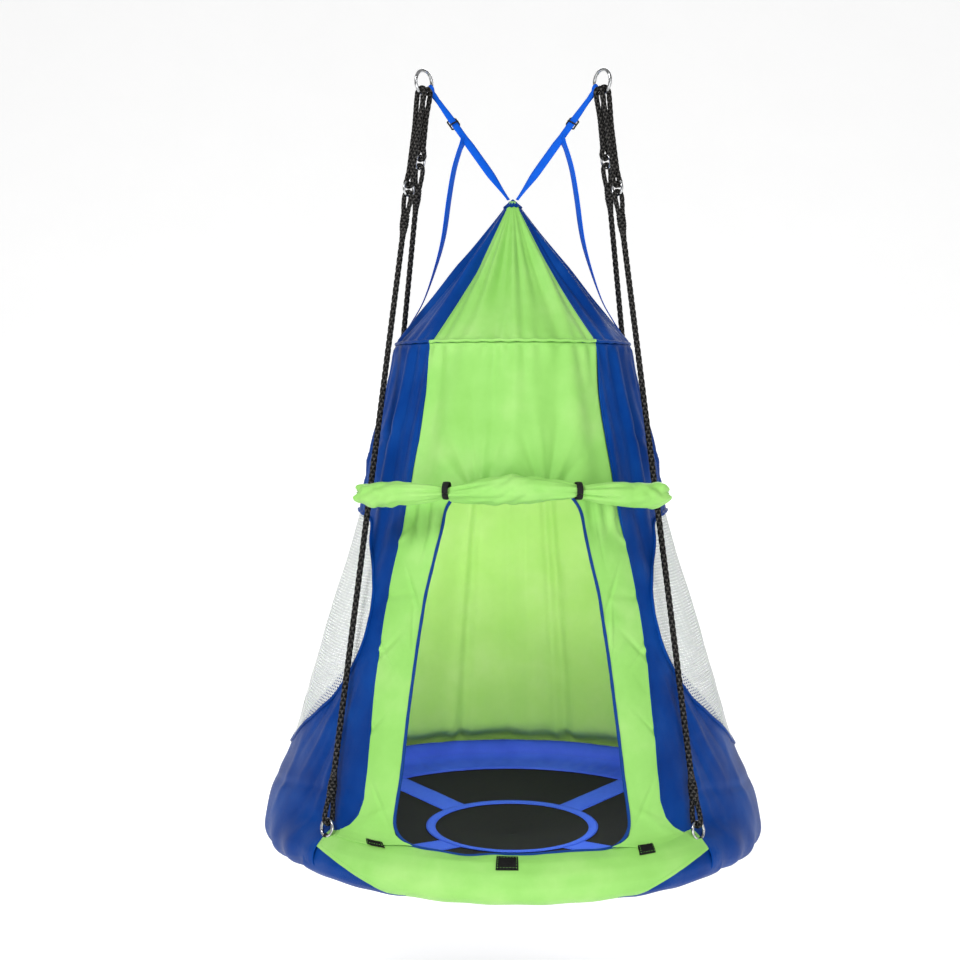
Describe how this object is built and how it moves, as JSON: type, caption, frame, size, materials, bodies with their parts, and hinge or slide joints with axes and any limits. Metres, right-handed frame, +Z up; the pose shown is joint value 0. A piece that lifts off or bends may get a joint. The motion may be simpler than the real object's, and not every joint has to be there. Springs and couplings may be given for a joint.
{
  "type": "saucer nest swing with play tent",
  "caption": "Round dished swing seat in a padded rim, hung by braided ropes from steel rings, under a cone-roofed fabric play tent with a rolled-up door and mesh side windows",
  "frame": {"origin": "midway between the centres of the two hanging rings", "axes": "+X to the right ring seen from the doorway side, +Z up, +Y away from the doorway"},
  "size_m": [1.012, 1.0118, 1.5735],
  "materials": {
    "steel_ring": "polished welded steel",
    "rope_black": "black braided rope with grey flecks",
    "steel_tube": "galvanised tube, hidden",
    "screw": "plated, hidden",
    "foam": "soft foam, hidden",
    "rim_blue": "woven royal blue polyester",
    "mat_black": "coarse woven black polyester",
    "webbing_black": "black webbing",
    "tent_blue": "coated tent cloth, satin",
    "plastic_black": "moulded black",
    "mesh_white": "fine pale mesh",
    "webbing_blue": "bright blue webbing",
    "tent_lime": "coated tent cloth, satin"
  },
  "bodies": {
    "hangers": {"hang_ring_left": "steel_ring", "hang_ring_right": "steel_ring"},
    "swing": {"upper_sling_front_left": "rope_black", "upper_sling_front_right": "rope_black", "upper_sling_rear_left": "rope_black", "upper_sling_rear_right": "rope_black", "link_rings": "steel_ring", "rope_front_left": "rope_black", "rope_front_right": "rope_black", "rope_rear_left": "rope_black", "rope_rear_right": "rope_black", "frame_rings": "steel_ring", "anchor_loops": "webbing_black", "frame_tube_front": "steel_tube", "frame_tube_rear": "steel_tube", "tube_joiners": "steel_tube", "frame_screws": "screw", "foam_sleeves": "foam", "rim_cover": "rim_blue", "seat_mat": "mat_black", "accent_ring": "rim_blue", "cross_straps": "rim_blue", "apex_patch": "tent_blue", "roof_front": "tent_lime", "roof_rear": "tent_lime", "roof_left": "tent_blue", "roof_right": "tent_blue", "shoulder_hoop": "plastic_black", "upper_front_panel": "tent_lime", "front_jamb_left": "tent_lime", "front_jamb_right": "tent_lime", "rear_panel": "tent_lime", "side_panel_left": "tent_blue", "side_panel_right": "tent_blue", "window_net_left": "mesh_white", "window_net_right": "mesh_white", "door_trim": "tent_blue", "front_apron": "tent_lime", "rear_apron": "tent_lime", "side_skirt_left": "tent_blue", "side_skirt_right": "tent_blue", "door_roll": "tent_lime", "roll_ties": "webbing_black", "hook_patches": "webbing_black", "main_strap_left": "webbing_blue", "main_strap_right": "webbing_blue", "branch_strap_left": "webbing_blue", "branch_strap_right": "webbing_blue"},
    "left_glide": {"tri_glide_left": "plastic_black"},
    "right_glide": {"tri_glide_right": "plastic_black"}
  },
  "joints": [
    {"name": "swing_hinge", "type": "hinge", "parent": "hangers", "child": "swing", "pos_m": [0, 0, -0.024], "axis": [1, 0, 0], "range_deg": [-35, 35], "deforming": ["upper_sling_front_left", "upper_sling_front_right", "upper_sling_rear_left", "upper_sling_rear_right", "main_strap_left", "main_strap_right"]},
    {"name": "left_glide_slide", "type": "slide", "parent": "swing", "child": "left_glide", "axis": [-0.5795, 0.0586, 0.8129], "range_m": [-0.02, 0.03]},
    {"name": "right_glide_slide", "type": "slide", "parent": "swing", "child": "right_glide", "axis": [0.5795, 0.0586, 0.8129], "range_m": [-0.02, 0.03]}
  ]
}
